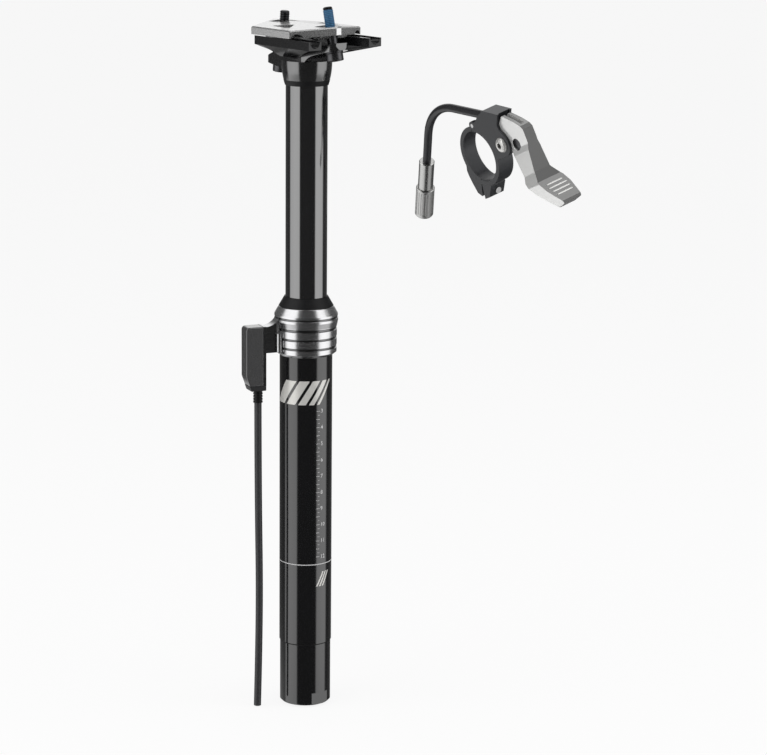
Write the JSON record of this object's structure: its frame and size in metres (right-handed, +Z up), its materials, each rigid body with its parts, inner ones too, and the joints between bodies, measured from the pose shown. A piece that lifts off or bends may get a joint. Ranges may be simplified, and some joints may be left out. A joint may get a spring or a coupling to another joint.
{
  "type": "dropper seatpost",
  "caption": "Cable-actuated dropper seatpost with a sliding stanchion, two-bolt saddle clamp, side cable box and a separate thumb lever for the handlebar.",
  "frame": {"origin": "on the post's axis at the underside of the collar, where the bike's seat tube ends", "axes": "+Z up along the post towards the saddle, +X to the front along the saddle rails, +Y to the left"},
  "size_m": [0.1659, 0.175, 0.4247],
  "materials": {
    "tube_black": "anodised, semi gloss",
    "stanchion_black": "hard anodised, glossy",
    "collar_silver": "turned and polished",
    "seal_rubber": "matt",
    "cover_grey": "moulded, satin",
    "cap_black": "moulded, matt",
    "yoke_black": "anodised, glossy",
    "plate_silver": "brushed with bright bevels",
    "bolt_black": "blackened",
    "bush_polymer": "bearing polymer",
    "key_brass": "machined",
    "gas_steel": "ground",
    "cable_black": "satin sheath",
    "lever_silver": "polished, fine blasted grain",
    "clamp_black": "anodised, satin",
    "screw_steel": "stainless",
    "elbow_black": "coated tube, satin",
    "adjuster_silver": "satin anodised"
  },
  "bodies": {
    "post": {"outer_tube": "tube_black", "bottom_cap": "tube_black", "cap_seal": "seal_rubber", "piston_rod": "gas_steel", "piston": "bush_polymer", "rod_nut": "gas_steel", "collar": "collar_silver", "wiper_seal": "seal_rubber", "upper_bushing": "bush_polymer", "box_cover": "cover_grey", "box_end_cap": "cap_black", "cable_boot": "seal_rubber", "cable_housing": "cable_black", "pin_spring": "screw_steel", "remote_body": "clamp_black", "clamp_band": "clamp_black", "band_hinge_pin": "screw_steel", "clamp_screw": "screw_steel", "pivot_bolt": "screw_steel", "lever_spring": "screw_steel", "cable_elbow": "elbow_black", "adjuster_sleeve": "adjuster_silver"},
    "slider": {"stanchion": "stanchion_black", "head_yoke": "yoke_black", "gas_cylinder": "gas_steel", "cylinder_gland": "gas_steel", "lower_bushing": "bush_polymer", "guide_keys": "key_brass", "front_bolt": "bolt_black", "rear_bolt": "bolt_black", "bolt_washers": "bolt_black"},
    "head": {"lower_cradle": "yoke_black", "top_plate": "plate_silver"},
    "front_nut": {"front_barrel_nut": "bolt_black"},
    "rear_nut": {"rear_barrel_nut": "bolt_black"},
    "wedge": {"cable_slide": "gas_steel", "inner_wire": "screw_steel"},
    "lock": {"lock_pin": "gas_steel"},
    "lever": {"thumb_lever": "lever_silver", "lever_bush": "bush_polymer", "cable_anchor": "bolt_black", "anchor_screw": "bolt_black"},
    "adjuster": {"adjuster_barrel": "adjuster_silver"}
  },
  "joints": [
    {"name": "drop", "type": "slide", "parent": "post", "child": "slider", "axis": [0, 0, 1], "range_m": [-0.125, 0], "stiffness_N_per_m": 400, "springref_m": 0.5},
    {"name": "saddle_tilt", "type": "hinge", "parent": "slider", "child": "head", "pos_m": [0, 0, 0.19], "axis": [0, -1, 0], "range_deg": [-5, 5]},
    {"name": "front_nut_run", "type": "slide", "parent": "slider", "child": "front_nut", "axis": [-0.2419, 0, 0.9703], "range_m": [-0.002, 0.002]},
    {"name": "rear_nut_run", "type": "slide", "parent": "slider", "child": "rear_nut", "axis": [0.1045, 0, 0.9945], "range_m": [-0.002, 0.002]},
    {"name": "lever_press", "type": "hinge", "parent": "post", "child": "lever", "pos_m": [0.06238, 0.10351, 0.12558], "axis": [0.0744, 0.9533, 0.2929], "range_deg": [0, 24], "stiffness_Nm_per_rad": 0.4, "springref_deg": -20.05},
    {"name": "cable_pull", "type": "slide", "parent": "post", "child": "wedge", "axis": [0, 0, -1], "range_m": [0, 0.005]},
    {"name": "pin_release", "type": "slide", "parent": "post", "child": "lock", "axis": [-0.2756, -0.9613, 0], "range_m": [0, 0.0008]},
    {"name": "barrel_turn", "type": "hinge", "parent": "post", "child": "adjuster", "pos_m": [-0.038, 0.12399, 0.08438], "axis": [-0.4026, 0.2974, -0.8657], "continuous": true}
  ],
  "couplings": [
    {"joint": "front_nut_run", "follows": "saddle_tilt", "m_per_rad": 0.021877},
    {"joint": "rear_nut_run", "follows": "saddle_tilt", "m_per_rad": -0.022203},
    {"joint": "cable_pull", "follows": "lever_press", "m_per_rad": 0.011934},
    {"joint": "pin_release", "follows": "lever_press", "m_per_rad": 0.001909}
  ]
}
